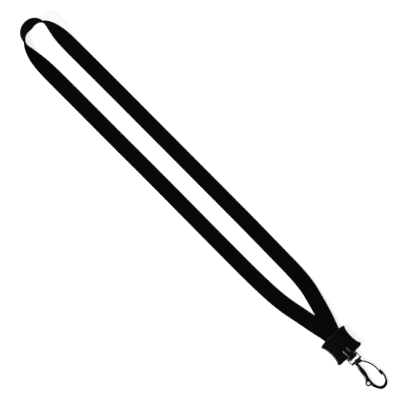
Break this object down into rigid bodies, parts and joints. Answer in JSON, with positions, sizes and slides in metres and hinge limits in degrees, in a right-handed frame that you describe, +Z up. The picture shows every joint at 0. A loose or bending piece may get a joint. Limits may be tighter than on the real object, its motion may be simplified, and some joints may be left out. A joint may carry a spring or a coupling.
{
  "type": "neck lanyard",
  "caption": "Flat woven webbing neck loop whose ends meet in a plastic clamshell clamp that carries a metal swivel snap hook.",
  "frame": {"origin": "middle of the clamp's flat back face, which lies on the table", "axes": "+Y from the hook towards the neck loop, +X across the strap, +Z up, out of the clamp's front"},
  "size_m": [0.0519, 0.5233, 0.0162],
  "materials": {
    "webbing": "matte woven polyester, fine cross ribs",
    "clamp_plastic": "satin moulded",
    "plated_metal": "gloss black plating on a zinc casting",
    "gate_steel": "satin black spring steel"
  },
  "bodies": {
    "strap_and_clamp": {"webbing_strap": "webbing", "clamp_front": "clamp_plastic", "clamp_back": "clamp_plastic"},
    "eye": {"swivel_eye": "plated_metal"},
    "hook": {"swivel_rivet": "plated_metal", "hook_body": "plated_metal", "gate_pin": "plated_metal"},
    "gate": {"hook_gate": "gate_steel", "gate_spring": "gate_steel"}
  },
  "joints": [
    {"name": "eye_tilt", "type": "hinge", "parent": "strap_and_clamp", "child": "eye", "pos_m": [0, -0.0161, 0.0039], "axis": [-1, 0, 0], "range_deg": [-86, 92]},
    {"name": "hook_swivel", "type": "hinge", "parent": "eye", "child": "hook", "pos_m": [0, -0.02219, 0.00357], "axis": [0, -0.9986, -0.0535], "continuous": true},
    {"name": "gate_open", "type": "hinge", "parent": "hook", "child": "gate", "pos_m": [0.003, -0.02469, 0.00344], "axis": [0, 0.0535, -0.9986], "range_deg": [0, 25], "stiffness_Nm_per_rad": 0.02, "springref_deg": -11.46}
  ]
}
